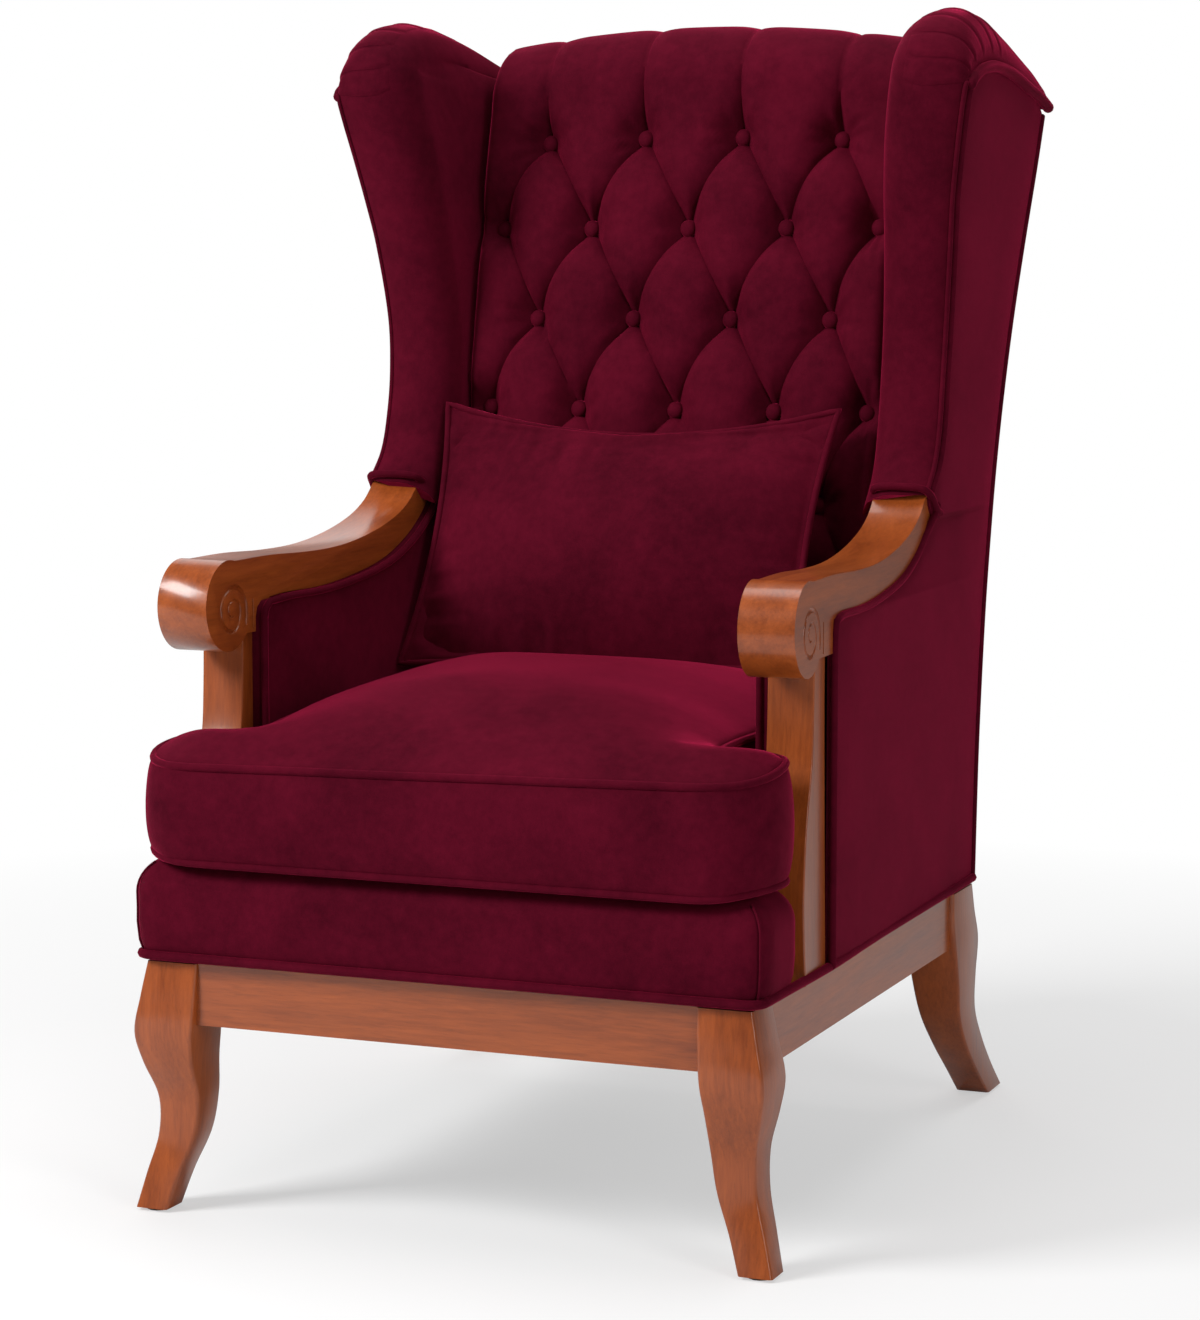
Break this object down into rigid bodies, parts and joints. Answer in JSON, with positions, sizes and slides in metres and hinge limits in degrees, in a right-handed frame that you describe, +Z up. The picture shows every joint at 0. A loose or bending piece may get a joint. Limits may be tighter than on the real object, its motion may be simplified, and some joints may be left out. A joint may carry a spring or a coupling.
{
  "type": "wingback armchair",
  "caption": "High-backed wing armchair with scrolled show-wood arms, bowed wooden legs, a button-tufted back, a loose T-shaped seat cushion and a pillow.",
  "frame": {"origin": "on the floor, under the middle of the chair's bounding box", "axes": "+Z up, the seat faces -Y, +X towards the sitter's left arm"},
  "size_m": [0.707, 0.8873, 1.1774],
  "materials": {
    "velvet": "matte",
    "show_wood": "satin",
    "frame_wood": "matte",
    "foam": "matte",
    "filling": "matte",
    "webbing": "matte",
    "dust_cloth": "matte",
    "bolt_steel": "satin",
    "glide_plastic": "satin"
  },
  "bodies": {
    "root": {"arm_dowels": "frame_wood", "arm_left": "show_wood", "arm_post_left": "show_wood", "arm_post_right": "show_wood", "arm_right": "show_wood", "back_cross_rails": "frame_wood", "back_post_left": "frame_wood", "back_post_right": "frame_wood", "back_webbing": "webbing", "corner_blocks": "frame_wood", "crest_rail": "frame_wood", "crest_roll": "velvet", "deck_cover": "velvet", "deck_foam": "foam", "dust_cover": "dust_cloth", "foot_glides": "glide_plastic", "front_leg_left": "show_wood", "front_leg_right": "show_wood", "front_rail": "show_wood", "inner_arm_pad_left": "velvet", "inner_arm_pad_right": "velvet", "leg_bolts": "bolt_steel", "outer_back_panel": "velvet", "outer_side_panel_left": "velvet", "outer_side_panel_right": "velvet", "rear_leg_left": "show_wood", "rear_leg_right": "show_wood", "rear_rail": "show_wood", "seat_webbing": "webbing", "side_rail_left": "show_wood", "side_rail_right": "show_wood", "tuft_buttons": "velvet", "tufted_back": "velvet", "wing_frame_left": "frame_wood", "wing_frame_right": "frame_wood", "wing_pad_left": "velvet", "wing_pad_right": "velvet"},
    "seat_cushion": {"seat_cushion_cover": "velvet", "seat_cushion_foam": "foam", "seat_cushion_welts": "velvet"},
    "pillow": {"pillow_cover": "velvet", "pillow_filling": "filling", "pillow_welt": "velvet"}
  },
  "joints": [
    {"name": "seat_cushion_slide", "type": "slide", "parent": "root", "child": "seat_cushion", "axis": [0, -1, 0], "range_m": [0, 0.6]},
    {"name": "pillow_lift", "type": "slide", "parent": "seat_cushion", "child": "pillow", "axis": [0, -0.5, 0.866], "range_m": [0, 0.35]}
  ]
}
